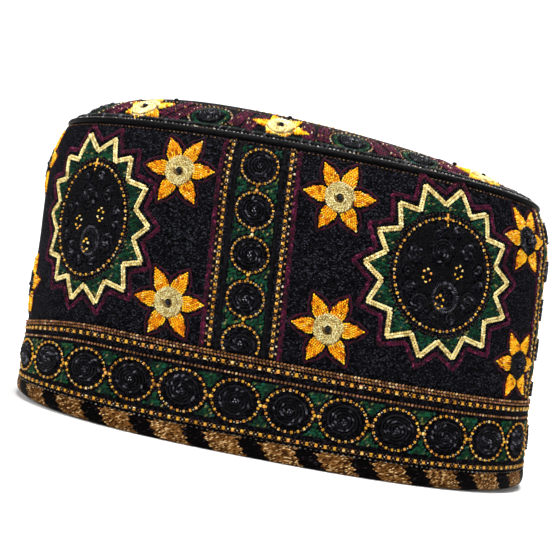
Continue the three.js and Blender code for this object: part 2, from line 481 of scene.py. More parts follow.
CROWN_STATIONS = 264
bearings = np.linspace(-np.pi, np.pi, CROWN_STATIONS, endpoint=False)
shares = 1 - (1 - np.linspace(0.03, 1, 34)) ** 1.3
top_rows = [dome(bearings, share) for share in shares]
under_rows = [dome(bearings, share * 0.975, CROWN_THICKNESS) for share in shares[::-3]]
crown_rows = np.array([*top_rows, *under_rows]) * 0.001
crown_centre = np.array([dome(0.0, 0.0), dome(0.0, 0.0, CROWN_THICKNESS)]) * 0.001
rows = len(crown_rows)
row = np.repeat(np.arange(rows - 1), CROWN_STATIONS)
column = np.tile(np.arange(CROWN_STATIONS), rows - 1)
next_column = (column + 1) % CROWN_STATIONS
start = row * CROWN_STATIONS
below = start + CROWN_STATIONS
crown_faces = np.stack([start + next_column, start + column, below + column, below + next_column], 1)
split = np.concatenate([crown_faces[:, [0, 1, 2]], crown_faces[:, [0, 2, 3]]])
ring = np.arange(CROWN_STATIONS)
next_ring = (ring + 1) % CROWN_STATIONS
top_middle = np.full(CROWN_STATIONS, rows * CROWN_STATIONS)
last = (rows - 1) * CROWN_STATIONS
cap_faces = np.stack([top_middle, ring, next_ring], 1)
floor_faces = np.stack([top_middle + 1, last + next_ring, last + ring], 1)
faces = np.concatenate([split, cap_faces, floor_faces])
points = np.concatenate([crown_rows.reshape(-1, 3), crown_centre])
flat = points[faces][:, :, :2] * 1000
under_halves = np.tile(row >= len(shares) - 1, 2)
is_under = np.concatenate([under_halves, np.repeat([False, True], CROWN_STATIONS)])
atlas = (flat / [220.0, 140.0] + 0.5) * [0.48, 0.98] + [0.01, 0.01]
atlas[is_under] += [0.5, 0.0]
crown_mesh = new_mesh("crown_cloth", points, faces, {"cloth": flat, "OFBake": atlas})
crown_black = sewn_cloth("crown_black_rows", [(0.0, 1, 1, 2), (0.6, 8, 7, 10), (1.0, 38, 36, 44)])
fix(crown_mesh, crown_black, "crown")


# Suns
# Four big suns are sewn round the wall: a maroon zigzag, a cream braid zigzag, green corners and
# a gold ring round a disc of black coils. All of it is thread, sewn through the quilted wall.

# A sun's rays: each one's bearing in degrees, and its tip's distance from the sun's middle
FRONT_RAYS = (
    (108, 33.0), (79, 32.9), (56, 31.1), (30, 30.6), (3, 31.5), (-20, 33.5), (-47, 32.1),
    (-74, 30.9), (-101, 31.7), (-128, 32.9), (-154, 32.9), (-179, 32.8), (158, 31.1), (133, 31.2),
)
LEFT_RAYS = (
    (110, 35.0), (78, 32.0), (52, 31.3), (25, 33.6), (0, 34.4), (-22, 35.6), (-44, 35.4),
    (-71, 33.1), (-99, 31.0), (-129, 30.2), (-155, 30.3), (174, 30.7), (154, 33.4), (134, 33.2),
)
SUNS = (
    {"round": 58.6, "height": 78.1, "narrow": 0.94, "ring": 20.7, "rays": FRONT_RAYS},
    {"round": 58.6 + GIRTH / 4, "height": 77.6, "narrow": 0.94, "ring": 20.7, "rays": FRONT_RAYS},
    {"round": 58.6 + GIRTH / 2, "height": 77.6, "narrow": 0.94, "ring": 20.7, "rays": FRONT_RAYS},
    {"round": -80.5, "height": 75.5, "narrow": 0.775, "ring": 21.3, "rays": LEFT_RAYS},
)
VALLEY_SHARE = 0.785
SUN_BOX = 34.0
COIL_STEP = 1.22

# One stitch: a plump grain of thread with pointed ends that go down through the cloth
RIM_ACROSS = (0.5, 0.0, -0.5, 0.0)
RIM_UP = (0.1, 1.0, 0.1, -0.5)
GRAIN_POINTS = np.array(
    [(-0.5, 0, 0)]
    + [(end, across, up) for end in (-0.27, 0.27) for across, up in zip(RIM_ACROSS, RIM_UP)]
    + [(0.5, 0, 0)]
)
grain_faces = []
grain_maps = []
for side in range(4):
    after = (side + 1) % 4
    low_corner, low_next, high_corner, high_next = 1 + side, 1 + after, 5 + side, 5 + after
    left, right, middle = side / 4, (side + 1) / 4, (side + 0.5) / 4
    grain_faces += [(0, low_next, low_corner), (low_corner, low_next, high_next)]
    near_left, near_right, far_left, far_right = (left, 0.23), (right, 0.23), (left, 0.77), (right, 0.77)
    grain_maps += [((middle, 0), near_right, near_left), (near_left, near_right, far_right)]
    grain_faces += [(low_corner, high_next, high_corner), (9, high_corner, high_next)]
    grain_maps += [(near_left, far_right, far_left), ((middle, 1), far_left, far_right)]
GRAIN_FACES = np.array(grain_faces)
GRAIN_MAP = np.array(grain_maps, float).reshape(-1, 2)


def atlas_cells(count, shape):
    """Gives each of many like shapes its own square of a square map; shape is its own small map."""
    columns = math.ceil(math.sqrt(count))
    cell = np.stack([np.arange(count) % columns, np.arange(count) // columns], 1)
    return ((cell[:, None, :] + shape) / columns).reshape(-1, 2)


def beside(x, y, angle, along, away):
    """A place moved along a direction, and away to the left of it."""
    return (
        x + along * np.cos(angle) - away * np.sin(angle),
        y + along * np.sin(angle) + away * np.cos(angle),
    )


class Sewing:
    """Stitches of one thread, laid on flat cloth and then made into one mesh."""

    def __init__(self, name, place, material, seed):
        self.name, self.place, self.material = name, place, material
        self.chance = np.random.default_rng(seed)
        self.laid = []

    def lay(self, x, y, angle, length, width, rise, out=0.0, wander=0.07, shades=(0.0, 1.0)):
        """Lays stitches: their middles, direction, sizes, how far out they start, and shades."""
        parts = [np.ravel(part) for part in np.broadcast_arrays(x, y, angle, length, width, rise, out)]
        many = parts[0].size
        parts[2] = parts[2] + self.chance.normal(0, wander, many)
        parts[3] = parts[3] * self.chance.uniform(0.88, 1.12, many)
        parts[4] = parts[4] * self.chance.uniform(0.88, 1.1, many)
        parts[5] = parts[5] * self.chance.uniform(0.8, 1.15, many)
        self.laid.append(np.stack([*parts, self.chance.uniform(*shades, many)], 1))

    def make(self):
        """Draws every stitch on its cloth, as one joined mesh."""
        x, y, angle, length, width, rise, out, tone = np.concatenate(self.laid).T
        here = self.place(x, y, out)
        along_x = unit(self.place(x + 0.3, y, out) - here)
        along_y = unit(self.place(x, y + 0.3, out) - here)
        up = unit(np.cross(along_x, along_y))
        forward = unit(along_x * np.cos(angle)[:, None] + along_y * np.sin(angle)[:, None])
        axes = np.stack([forward, np.cross(up, forward), up], 1)
        sizes = np.stack([length, width, rise], 1)[:, None, :] * GRAIN_POINTS[None] * 0.001
        points = here[:, None, :] + sizes @ axes
        count, many = len(x), len(GRAIN_POINTS)
        faces = (GRAIN_FACES[None] + (np.arange(count) * many)[:, None, None]).reshape(-1, 3)
        atlas = atlas_cells(count, 0.08 + 0.84 * GRAIN_MAP)
        maps = {"strand": np.tile(GRAIN_MAP, (count, 1)), "OFBake": atlas}
        mesh = new_mesh(self.name, points.reshape(-1, 3), faces, maps)
        attribute = mesh.attributes.new("tone", "FLOAT", "POINT")
        attribute.data.foreach_set("value", np.repeat(tone, many).astype(np.float32))
        fix(mesh, self.material)


def walk(line, pitch, closed=False):
    """Even steps along a line of points: the steps' middles and directions."""
    line = np.asarray(line, float)
    if closed:
        line = np.vstack([line, line[:1]])
    legs = np.diff(line, axis=0)
    run = np.concatenate([[0], np.cumsum(np.hypot(*legs.T))])
    count = max(1, round(run[-1] / pitch))
    at = (np.arange(count) + 0.5) * run[-1] / count
    leg = np.clip(np.searchsorted(run, at) - 1, 0, len(legs) - 1)
    angle = np.arctan2(legs[leg, 1], legs[leg, 0])
    return np.interp(at, run, line[:, 0]), np.interp(at, run, line[:, 1]), angle


def stitch_along(sewing, line, pitch, length, width, rise, out=0.0, lean=0.0,
                 closed=False, wander=0.07, shades=(0.0, 1.0)):
    """One file of stitches along a line, each turned from it by lean."""
    x, y, angle = walk(line, pitch, closed)
    sewing.lay(x, y, angle + lean, length, width, rise, out, wander, shades)


def braid(sewing, line, pitch, width, rise, closed=False, out=0.0, lean=0.55, shades=(0.0, 1.0)):
    """A chain or braid along a line: two files of stitches that lean towards each other."""
    x, y, angle = walk(line, pitch, closed)
    for side in (-1, 1):
        file_x, file_y = beside(x, y, angle, 0.0, side * width * 0.25)
        sewing.lay(file_x, file_y, angle - side * lean, pitch * 1.45, width * 0.5, rise, out, shades=shades)


def fill(sewing, inside, low, high, row, length, width, rise, angle=0.0, out=0.0, shades=(0.0, 1.0)):
    """Fills the part of a box where inside(x, y) holds with rows of stitches laid like bricks."""
    reach = np.hypot(high[0] - low[0], high[1] - low[1]) / 2
    lines = np.arange(-reach, reach, row)
    along, away = np.meshgrid(np.arange(-reach, reach, length), lines)
    along = along + length * BRICK_SHIFT * (np.arange(len(lines)) % 5)[:, None]
    along = along + sewing.chance.normal(0, length * 0.08, along.shape)
    x, y = beside((low[0] + high[0]) / 2, (low[1] + high[1]) / 2, angle, along, away)
    kept = inside(x, y) & (x > low[0]) & (x < high[0]) & (y > low[1]) & (y < high[1])
    sewing.lay(x[kept], y[kept], angle, length * 1.05, width, rise, out, shades=shades)


def oval_line(x, y, wide, high, corners, start=0.0):
    """Points round an oval on the flat cloth, from a starting angle."""
    angle = np.linspace(0, 2 * np.pi, corners, endpoint=False) + start
    return np.stack([x + wide * np.cos(angle), y + high * np.sin(angle)], 1)


def coil_line(x, y, wide, high, step, inner=0.6):
    """A spiral line from an oval's edge to its middle, for a coiled cord."""
    turns = (min(wide, high) - inner) / step
    angle = np.linspace(0, 2 * np.pi * turns, max(24, int(40 * turns)))
    share = 1 - (1 - inner / min(wide, high)) * angle / angle[-1]
    along = x + (wide - step / 2) * share * np.cos(angle)
    up = y + (high - step / 2) * share * np.sin(angle)
    return np.stack([along, up], 1)


def cord_disc(sewing, x, y, wide, high, out=0.0):
    """A disc of black cord, coiled in a spiral."""
    stitch_along(sewing, coil_line(x, y, wide, high, COIL_STEP), 1.0, 1.6, 0.8, 1.0, out, 0.5, wander=0.2)


def gold_line(big, small, line, pitch, size, closed=False, out=0.0, flanks=True):
    """A line of square gold stitches, each three threads side by side, with specks between."""
    x, y, angle = walk(line, pitch, closed)
    for side in (-1, 0, 1):
        thread_x, thread_y = beside(x, y, angle, 0.0, side * size * 0.3)
        big.lay(thread_x, thread_y, angle, size * 1.05, size * 0.4, 0.5, out, 0.05)
    small.lay(*beside(x, y, angle, pitch / 2, 0.0), angle, 0.6, 0.45, 0.3, out, 0.3, (0.5, 1.0))
    if flanks:
        for side in (-1, 1):
            for ahead in (0.3, 0.7):
                speck_x, speck_y = beside(x, y, angle, ahead * pitch, side * size * 0.52)
                small.lay(speck_x, speck_y, angle + side * 0.5, 0.6, 0.36, 0.26, out, 0.3, (0.0, 0.9))


# Twisted thread: two strands wind round each stitch, with painted shade darkening the groove between them
thread_group, given, thread_out = new_group(
    "Twisted thread",
    [("Color", "Color", (0.5, 0.5, 0.5, 1)), ("Twist", "Float", 3.0), ("Groove shade", "Float", 0.6)],
    [("Color", "Color"), ("Height", "Float")],
)
sums = partial(maths, thread_group)
strand_map = add(thread_group, "ShaderNodeUVMap", uv_map="strand").outputs[0]
at = add(thread_group, "ShaderNodeSeparateXYZ", {0: strand_map}).outputs
winding = sums("MULTIPLY_ADD", at[1], given["Twist"], sums("MULTIPLY", at[0], 2.0))
wave = sums("SINE", sums("MULTIPLY", winding, 2 * math.pi))
strand_height = sums("MULTIPLY_ADD", wave, 0.5, 0.5)
# Painted shade: the colour is darkened towards the groove between the two strands.
lit = sums("MULTIPLY_ADD", strand_height, sums("SUBTRACT", 1.0, given["Groove shade"]), given["Groove shade"])
wound = add(thread_group, "ShaderNodeVectorMath", {0: given["Color"], 1: lit}, operation="MULTIPLY")
thread_group.links.new(wound.outputs[0], thread_out.inputs["Color"])
thread_group.links.new(strand_height, thread_out.inputs["Height"])


def thread(name, steps, twist=3.0, groove_shade=0.6, patch=140.0, **sockets):
    """A twisted thread whose stitches take their colours from steps by each stitch's own tone, with painted
    shade in the groove between its strands.
    """
    settings = {"Roughness": 0.5, "Sheen_Weight": 0.03, "Sheen_Roughness": 0.35, "Specular_IOR_Level": 0.2}
    material, tree, shader = new_material(name, **{**settings, **sockets})
    tone = add(tree, "ShaderNodeAttribute", attribute_name="tone").outputs["Fac"]
    colour = colour_steps(tree, tone, steps)
    dyed = use(tree, dye_group, {"Color": colour, "Patch": patch, "Amount": 0.25})["Color"]
    wound = use(tree, thread_group, {"Color": dyed, "Twist": twist, "Groove shade": groove_shade})
    tree.links.new(wound["Color"], shader.inputs["Base Color"])
    bump = add(tree, "ShaderNodeBump", {"Height": wound["Height"], "Strength": 0.5, "Distance": 0.0001})
    tree.links.new(bump.outputs[0], shader.inputs["Normal"])
    return material


maroon_thread = thread(
    "maroon_thread",
    [(0.0, 24, 3, 12), (0.5, 62, 8, 33), (0.9, 92, 15, 50), (1.0, 134, 44, 84)],
    groove_shade=0.5,
    Roughness=0.6,
    Specular_IOR_Level=0.08,
)
cream_thread = thread(
    "cream_thread",
    [(0.0, 84, 60, 26), (0.1, 168, 136, 70), (0.4, 226, 204, 132),
     (0.8, 244, 230, 164), (1.0, 255, 250, 214)],
    groove_shade=0.7,
)
green_thread = thread(
    "green_thread",
    [(0.0, 0, 14, 10), (0.45, 0, 50, 30), (0.8, 6, 86, 46), (0.88, 6, 84, 80),
     (0.94, 104, 108, 40), (1.0, 150, 138, 92)],
    groove_shade=0.5,
    Specular_IOR_Level=0.1,
)
gold_thread = thread(
    "gold_thread",
    [(0.0, 140, 84, 8), (0.3, 214, 152, 28), (0.65, 240, 190, 62), (0.78, 236, 146, 70),
     (0.9, 244, 208, 104), (1.0, 250, 236, 190)],
    groove_shade=0.7,
)
small_gold_thread = thread(
    "small_gold_thread",
    [(0.0, 36, 16, 8), (0.5, 108, 66, 30), (0.8, 178, 134, 76), (1.0, 226, 216, 190)],
)
black_thread = thread(
    "black_thread",
    [(0.0, 1, 1, 2), (0.5, 10, 9, 13), (0.85, 34, 33, 41), (1.0, 112, 110, 120)],
    groove_shade=0.3,
    Roughness=0.4,
    Sheen_Weight=0.0,
    Specular_IOR_Level=0.11,
)

sun_maroon = Sewing("sun_maroon_zigzag", wall_place, maroon_thread, 11)
sun_cream = Sewing("sun_cream_braid", wall_place, cream_thread, 12)
sun_green = Sewing("sun_green_corners", wall_place, green_thread, 13)
sun_gold = Sewing("sun_gold_rings", wall_place, gold_thread, 14)
sun_small = Sewing("sun_small_stitches", wall_place, small_gold_thread, 15)
sun_black = Sewing("sun_black_coils", wall_place, black_thread, 16)

# The coils and the open arc of a sun: x and y from its middle, and radius. The dots have no radius.
SUN_COILS = (
    (-1.8, 8.3, 5.3), (-4.0, 16.9, 2.6), (3.8, 16.5, 2.7), (-13.1, 5.3, 3.7), (9.7, 9.8, 3.7),
    (15.2, 3.8, 2.4), (-15.4, -1.0, 2.2), (-14.0, -6.5, 2.8), (-9.1, -11.9, 4.1), (12.1, -8.4, 4.1),
    (16.2, -1.5, 2.2), (-2.4, -15.9, 2.7), (5.2, -15.6, 2.9),
)
SUN_ARC = (1.8, -8.2, 5.3)
SUN_DOTS = ((-7.2, -1.4), (6.4, 1.9), (-0.6, -10.1))
for sun in SUNS:
    centre_s, centre_h, narrow, ring_radius = sun["round"], sun["height"], sun["narrow"], sun["ring"]
    rays = np.radians([ray for ray, _ in sun["rays"]])
    reaches = np.array([reach for _, reach in sun["rays"]])
    gaps = np.mod(np.roll(rays, -1) - rays + np.pi, 2 * np.pi) - np.pi
    bearing = np.stack([rays, rays + gaps / 2], 1).ravel()
    valley = VALLEY_SHARE * (reaches + np.roll(reaches, -1)) / 2
    reach = np.stack([reaches, valley], 1).ravel()

    def star_line(extra):
        along = (narrow * reach + extra) * np.cos(bearing)
        return np.stack([centre_s + along, centre_h + (reach + extra) * np.sin(bearing)], 1)

    def on_sun(x, y):
        return (x - centre_s) / narrow, y - centre_h

    order = np.argsort(np.mod(bearing, 2 * np.pi))
    round_bearing = np.mod(bearing, 2 * np.pi)[order]
    round_reach = reach[order]

    def in_corner(x, y):
        across, up = on_sun(x, y)
        seen = np.mod(np.arctan2(up, across), 2 * np.pi)
        edge = np.interp(seen, round_bearing, round_reach, period=2 * np.pi)
        far = np.hypot(across, up)
        return (far < edge - 2.4) & (far > ring_radius + 2.5)

    def in_disc(x, y):
        across, up = on_sun(x, y)
        free = np.hypot(across, up) < ring_radius - 1.2
        free &= np.hypot(across - SUN_ARC[0], up - SUN_ARC[1]) > SUN_ARC[2] + 0.5
        for coil_x, coil_y, size in SUN_COILS:
            free &= np.hypot(across - coil_x, up - coil_y) > size + 0.2
        return free

    box_low = (centre_s - SUN_BOX, centre_h - SUN_BOX)
    box_high = (centre_s + SUN_BOX, centre_h + SUN_BOX)
    braid(sun_maroon, star_line(4.3), 1.15, 1.5, 0.35, closed=True)
    braid(sun_cream, star_line(0.0), 1.0, 1.85, 0.6, closed=True, lean=0.5, shades=(0.1, 0.9))
    fill(sun_green, in_corner, box_low, box_high, 0.66, 1.3, 0.62, 0.36, angle=0.5)
    fill(sun_black, in_disc, box_low, box_high, 0.8, 1.25, 0.7, 0.5, angle=1.1, shades=(0.0, 0.6))
    for coil_x, coil_y, size in SUN_COILS:
        cord_disc(sun_black, centre_s + narrow * coil_x, centre_h + coil_y, size * narrow, size)
    arc_x, arc_y, arc_radius = centre_s + narrow * SUN_ARC[0], centre_h + SUN_ARC[1], SUN_ARC[2]
    arc = oval_line(arc_x, arc_y, narrow * arc_radius, arc_radius, 90)
    stitch_along(sun_black, arc, 0.8, 1.2, 0.5, 0.7, lean=1.5, closed=True, shades=(0.85, 1.0))
    arc = oval_line(arc_x, arc_y, narrow * (arc_radius - 1.2), arc_radius - 1.2, 90)
    stitch_along(sun_black, arc, 1.1, 1.76, 0.9, 0.6, lean=0.35, closed=True)
    ring = oval_line(centre_s, centre_h, narrow * ring_radius, ring_radius, 90)
    gold_line(sun_gold, sun_small, ring, 2.9, 1.02, closed=True, flanks=False)
    ring = oval_line(centre_s, centre_h, narrow * (ring_radius + 1.9), ring_radius + 1.9, 90)
    stitch_along(sun_small, ring, 1.4, 0.6, 0.36, 0.3, closed=True, shades=(0.0, 0.5))
    cross_s = centre_s - 0.8 * narrow + np.array([-1.0, 1.0, 0, 0, 0, 0])
    cross_h = centre_h + ring_radius + np.array([0, 0, 1.5, 0.5, -0.8, -2.4])
    sun_gold.lay(cross_s, cross_h, np.array([0, 0, 1.57, 1.57, 1.57, 1.57]), 1.3, 0.8, 0.55)
    for dot_x, dot_y in SUN_DOTS:
        spot = np.arange(6) * np.pi / 3 + 0.4
        dot_s = centre_s + narrow * (dot_x + 1.7 * np.cos(spot))
        dot_h = centre_h + dot_y + 2.4 * np.sin(spot)
        sun_gold.lay(dot_s, dot_h, spot + 1.5, 1.15, 0.95, 0.8, shades=(0.3, 1.0))
for sewing in (sun_maroon, sun_cream, sun_green, sun_gold, sun_small, sun_black):
    sewing.make()


# Stars
# Sixteen six-petalled stars stand in pairs beside the columns. Orange silk petals, each with a
# maroon chain round it, meet at a coiled disc of cream or black chain with a bead in its middle.
COLUMN_START = -12.74
COLUMN_SLANT = -0.028
SLANT_HEIGHT = 19.65
COLUMN_SHIFT = (0.0, -1.4, 0.0, 0.0)
STAR_SHIFT = (0.0, 4.8, 0.0, -0.6)
STARS_BY_A_COLUMN = ((-30.1, 98.0), (30.7, 98.5), (-28.5, 49.6), (31.2, 50.8))
PETAL_ANGLES = np.radians([120, 64, 6, -56, -118, 178])
PETAL_TIP = 13.3
DISC_RADIUS = 6.15

# The maroon chain round a petal: how far out from the star's middle, and how far to the side
PETAL_EDGE = ((6.2, -3.8), (8.2, -4.2), (11.6, -2.9), (15.0, 0.0), (11.6, 2.9), (8.2, 4.2), (6.2, 3.8))


def column_middle(number, height):
    """How far round the cap a column's middle line is, at a height."""
    slanted = COLUMN_SLANT * (height - SLANT_HEIGHT)
    return COLUMN_START + number * GIRTH / 4 + COLUMN_SHIFT[number] + slanted


def mat(sewing, x, y, angle, long, wide, out=0.0):
    """Flat padding stitches under an oval of embroidery, coloured in the thread's darkest tones as painted
    shade showing in the gaps between the stitches laid over it.
    """
    off = np.arange(-wide + 0.4, wide, 0.85)
    half = long * np.sqrt(1 - (off / wide) ** 2)
    for end in (-0.5, 0.5):
        pad_x, pad_y = beside(x, y, angle, end * half, off)
        # The padding stitches are real; their near-darkest tones are painted shade for the gaps above them.
        sewing.lay(pad_x, pad_y, angle, half * 1.1, 1.15, 0.16, out, 0.0, (0.0, 0.06))


def chain_disc(sewing, x, y, radius, out=0.0):
    """A disc of silk chain stitch, coiled round a hole, over flat padding."""
    mat(sewing, x, y, 0.4, radius - 0.5, radius - 0.5, out)
    line = coil_line(x, y, radius, radius, COIL_STEP, 1.95)
    braid(sewing, line, 1.1, 0.96, 0.85, out=out + 0.1, lean=0.42, shades=(0.15, 1.0))


def leaf(sewing, middle, direction, start, tip, half, out=0.0):
    """A petal from start to tip along a direction: rows of stitches that fan out to its edge."""
    steps = np.arange(start + 0.5, tip, 0.92)
    halves = half * np.interp(steps, [start, start + 0.25 * (tip - start), tip], [0.85, 1.0, 0.1])
    for number, (step, wide) in enumerate(zip(steps, halves)):
        files = max(1, round(2 * wide / 0.82))
        off = (np.arange(files) - (files - 1) / 2) * 2 * wide / files
        lean = 0.6 * off / half + 0.12 * (-1) ** number
        sewing.lay(*beside(*middle, direction, step, off), direction + lean, 1.15, 0.7, 0.8, out, 0.12)


petal_thread = thread(
    "petal_thread",
    [(0.0, 150, 66, 4), (0.08, 210, 110, 6), (0.25, 250, 166, 10), (0.65, 255, 196, 24),
     (0.92, 255, 214, 58), (1.0, 255, 236, 150)],
    groove_shade=0.75,
    Sheen_Weight=0.0,
    Specular_IOR_Level=0.12,
)
star_petals = Sewing("star_petals", wall_place, petal_thread, 21)
star_outline = Sewing("star_outlines", wall_place, maroon_thread, 22)
star_cream = Sewing("star_cream_discs", wall_place, cream_thread, 23)
star_black = Sewing("star_black_discs", wall_place, black_thread, 24)
star_beads = []
for number in range(4):
    for offset, height in STARS_BY_A_COLUMN:
        centre = np.array([column_middle(number, height) + offset + STAR_SHIFT[number], height])
        for petal in PETAL_ANGLES:
            mat(star_petals, *beside(*centre, petal, 8.6, 0.0), petal, 3.9, 2.2)
            leaf(star_petals, centre, petal, 5.3, PETAL_TIP, 3.05)
            edge = np.stack(beside(*centre, petal, *np.array(PETAL_EDGE).T), 1)
            stitch_along(star_outline, edge, 1.15, 1.6, 0.8, 0.32, lean=0.25, shades=(0.0, 0.6))
        disc = star_cream if number % 2 == 0 else star_black
        chain_disc(disc, centre[0], centre[1], DISC_RADIUS, 0.2)
        star_black.lay(*centre, [0.0, 1.57], 2.5, 1.9, 0.25, 0.25, 0.0, (0.0, 0.1))
        star_beads.append((*centre, 0.9))
for sewing in (star_petals, star_outline, star_cream, star_black):
    sewing.make()


# Columns
# Four upright columns part the wall between the suns. Five gold rings with coiled black discs
# stand over each other between black satin strips, gold lines and a maroon line on each side.
RING_HEIGHTS = (40.0, 56.1, 72.2, 88.3, 104.4)
HALF_PITCH = 8.05
COLUMN_FOOT = 36.2
COLUMN_HEAD = 112.3
RING_WIDE = 6.85
RING_HIGH = 6.45

# How far each upright line of a column is from its middle
SATIN_AWAY = 8.7
GOLD_AWAY = 11.6
DOTS_AWAY = 13.15
MAROON_AWAY = 14.6
column_maroon = Sewing("column_maroon_lines", wall_place, maroon_thread, 31)
column_gold = Sewing("column_gold_stitches", wall_place, gold_thread, 32)
column_small = Sewing("column_small_stitches", wall_place, small_gold_thread, 33)
column_satin = Sewing("column_satin_strips", wall_place, black_thread, 34)
column_black = Sewing("column_black_discs", wall_place, black_thread, 35)
column_green = Sewing("column_green_corners", wall_place, green_thread, 36)
rosette_beads = []
for number in range(4):

    def upright(offset):
        return [(column_middle(number, height) + offset, height) for height in (COLUMN_FOOT, COLUMN_HEAD)]

    for side in (-1, 1):
        braid(column_maroon, upright(side * MAROON_AWAY), 1.15, 1.6, 0.38)
        gold_line(column_gold, column_small, upright(side * GOLD_AWAY), 2.75, 1.2)
        x, y, angle = walk(upright(side * DOTS_AWAY), 2.75)
        column_small.lay(x, y + 1.0, angle, 0.95, 0.75, 0.4, shades=(0.6, 1.0))
        stitch_along(column_satin, upright(side * SATIN_AWAY), 0.62, 1.7, 0.72, 0.5,
                     lean=1.45, wander=0.03, shades=(0.0, 0.7))
    for middle_height in RING_HEIGHTS:
        middle = column_middle(number, middle_height)
        ring = oval_line(middle, middle_height, RING_WIDE, RING_HIGH, 60, 0.3)
        whole = ring[:, 1].min() > COLUMN_FOOT
        if not whole:
            ring = np.roll(ring, -int(np.argmin(ring[:, 1])) - 1, axis=0)
            ring = ring[ring[:, 1] > COLUMN_FOOT]
        gold_line(column_gold, column_small, ring, 2.1, 0.88, closed=whole, flanks=False)
        cord_disc(column_black, middle, middle_height, 5.6, min(5.3, middle_height - COLUMN_FOOT))
        rosette_beads.append((middle, middle_height, 0.0))
        if middle_height > RING_HEIGHTS[0]:
            join = middle_height - HALF_PITCH
            column_gold.lay(column_middle(number, join), join + np.array([-0.8, 0.8]), 0.0, 1.2, 1.2, 0.6)

        def in_wedge(x, y):
            free = np.abs(x - column_middle(number, y)) < 7.5
            free &= (y > COLUMN_FOOT + 0.4) & (y < COLUMN_HEAD - 0.8)
            for other in RING_HEIGHTS:
                free &= np.hypot((x - column_middle(number, other)) / 8.1, (y - other) / 7.7) > 1
            return free

        low, high = (middle - 8, middle_height - HALF_PITCH), (middle + 8, middle_height + HALF_PITCH)
        fill(column_green, in_wedge, low, high, 0.62, 1.3, 0.68, 0.32, angle=1.2)
for sewing in (column_maroon, column_gold, column_small, column_satin, column_black, column_green):
    sewing.make()


# Border embroidery
# The band carries a row of 28 gold rings round coiled black discs, joined by gold stitches, with
# green corners between. Gold lines run above and below, and a gold brown braid covers its edge.
BORDER_MIDDLE = 19.4
BORDER_COUNT = 28
BORDER_START = -12.4
BORDER_WIDE = 8.7
BORDER_HIGH = 7.5
UPPER_GOLD = 32.6
LOWER_GOLD = 9.0
THIN_ROW = 29.1
border_pitch = GIRTH / BORDER_COUNT
brown_gold_thread = thread(
    "brown_gold_thread",
    [(0.0, 44, 20, 10), (0.4, 104, 62, 28), (0.75, 164, 116, 60), (0.9, 160, 98, 84),
     (1.0, 222, 192, 140)],
)
border_gold = Sewing("border_gold_stitches", wall_place, gold_thread, 41)
border_small = Sewing("border_small_stitches", wall_place, small_gold_thread, 42)
border_braid = Sewing("border_braid", wall_place, brown_gold_thread, 43)
border_black = Sewing("border_black_discs", wall_place, black_thread, 44)
border_green = Sewing("border_green_corners", wall_place, green_thread, 45)


def level(height):
    """A level line round the whole cap at a height."""
    return [(0.0, height), (GIRTH, height)]


for number in range(BORDER_COUNT):
    middle = BORDER_START + number * border_pitch
    ring = oval_line(middle, BORDER_MIDDLE, BORDER_WIDE, BORDER_HIGH, 72)
    gold_line(border_gold, border_small, ring, 2.45, 1.0, closed=True, out=BAND_OUT, flanks=False)
    cord_disc(border_black, middle, BORDER_MIDDLE, 6.9, 6.1, out=BAND_OUT)
    rosette_beads.append((middle, BORDER_MIDDLE, BAND_OUT))
    join = middle + border_pitch / 2
    border_gold.lay(join + np.array([-0.7, 0.7]), BORDER_MIDDLE, 1.57, 1.4, 1.2, 0.6, BAND_OUT)

    def in_triangle(x, y):
        free = np.abs(y - BORDER_MIDDLE) < 7.8
        for other in (join - border_pitch / 2, join + border_pitch / 2):
            free &= np.hypot((x - other) / 10.1, (y - BORDER_MIDDLE) / 9.0) > 1
        return free

    low, high = (join - 7, BORDER_MIDDLE - 8), (join + 7, BORDER_MIDDLE + 8)
    fill(border_green, in_triangle, low, high, 0.6, 1.3, 0.66, 0.32, angle=0.9, out=BAND_OUT)
gold_line(border_gold, border_small, level(UPPER_GOLD), 3.4, 1.4, out=BAND_OUT)
gold_line(border_gold, border_small, level(LOWER_GOLD), 3.4, 1.3, out=BAND_OUT)
for height, lean in ((34.55, -0.5), (35.6, 0.5)):
    x, y, angle = walk(level(height), 1.3)
    border_braid.lay(x + lean, y, angle + lean, 1.25, 0.72, 0.55, 0.45, 0.15, (0.2, 1.0))
stitch_along(border_braid, level(THIN_ROW), 1.4, 1.0, 0.85, 0.45, BAND_OUT, 0.3,
             wander=0.35, shades=(0.25, 1.0))
for sewing in (border_gold, border_small, border_braid, border_black, border_green):
    sewing.make()


# Seam stitches
# White machine stitches hold the tape to the band and the crown to the piping, and a gold brown
# running stitch closes the wall under the seam. Both threads are sewn right through the cloth.
white_thread = thread(
    "white_thread",
    [(0.0, 50, 48, 44), (0.5, 122, 118, 110), (1.0, 232, 230, 224)],
)
seam_white = Sewing("seam_white_stitches", wall_place, white_thread, 51)
stitch_along(seam_white, level(7.2), 2.0, 0.8, 0.4, 0.35, 0.55, shades=(0.0, 0.7))
stitch_along(seam_white, level(115.7), 1.6, 0.9, 0.45, 0.4, -1.1)
seam_white.make()
seam_gold = Sewing("seam_gold_stitches", wall_place, small_gold_thread, 52)
stitch_along(seam_gold, level(112.5), 1.7, 0.75, 0.36, 0.3, shades=(0.1, 0.85))
seam_gold.make()


